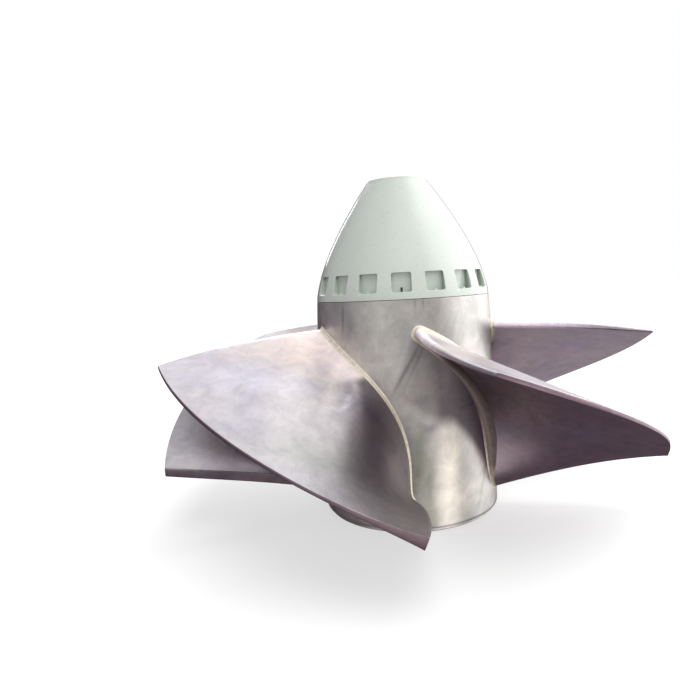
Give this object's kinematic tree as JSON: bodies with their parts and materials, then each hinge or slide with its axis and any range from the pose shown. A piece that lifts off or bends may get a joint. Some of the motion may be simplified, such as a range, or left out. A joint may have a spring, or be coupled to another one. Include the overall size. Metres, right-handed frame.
{
  "type": "propeller turbine runner",
  "caption": "Turbine runner with a barrel hub, welded twisted blades and an ogive cone ringed by bolt pockets, standing on its coupling face.",
  "frame": {"origin": "centre of the coupling face that the runner stands on", "axes": "+Z along the runner axis, from the coupling face to the cone; -Y is the side that the picture shows"},
  "size_m": [2.7498, 2.75, 1.864],
  "materials": {
    "ground_steel": "ground, fine diagonal scratches",
    "weld_bead": "dressed bright weld",
    "pale_green_paint": "gloss"
  },
  "bodies": {
    "root": {"coupling_plate": "ground_steel", "hub_barrel": "ground_steel", "blade_1": "ground_steel", "blade_2": "ground_steel", "blade_3": "ground_steel", "blade_4": "ground_steel", "blade_5": "ground_steel", "root_weld_1": "weld_bead", "root_weld_2": "weld_bead", "root_weld_3": "weld_bead", "root_weld_4": "weld_bead", "root_weld_5": "weld_bead", "cone_base_ring": "pale_green_paint", "cone_land_01": "pale_green_paint", "cone_land_02": "pale_green_paint", "cone_land_03": "pale_green_paint", "cone_land_04": "pale_green_paint", "cone_land_05": "pale_green_paint", "cone_land_06": "pale_green_paint", "cone_land_07": "pale_green_paint", "cone_land_08": "pale_green_paint", "cone_land_09": "pale_green_paint", "cone_land_10": "pale_green_paint", "cone_land_11": "pale_green_paint", "cone_land_12": "pale_green_paint", "cone_land_13": "pale_green_paint", "cone_land_14": "pale_green_paint", "cone_land_15": "pale_green_paint", "cone_land_16": "pale_green_paint", "cone_land_17": "pale_green_paint", "pocket_back_wall": "pale_green_paint", "cone_shell": "pale_green_paint", "cone_end_plate": "pale_green_paint"}
  },
  "joints": []
}
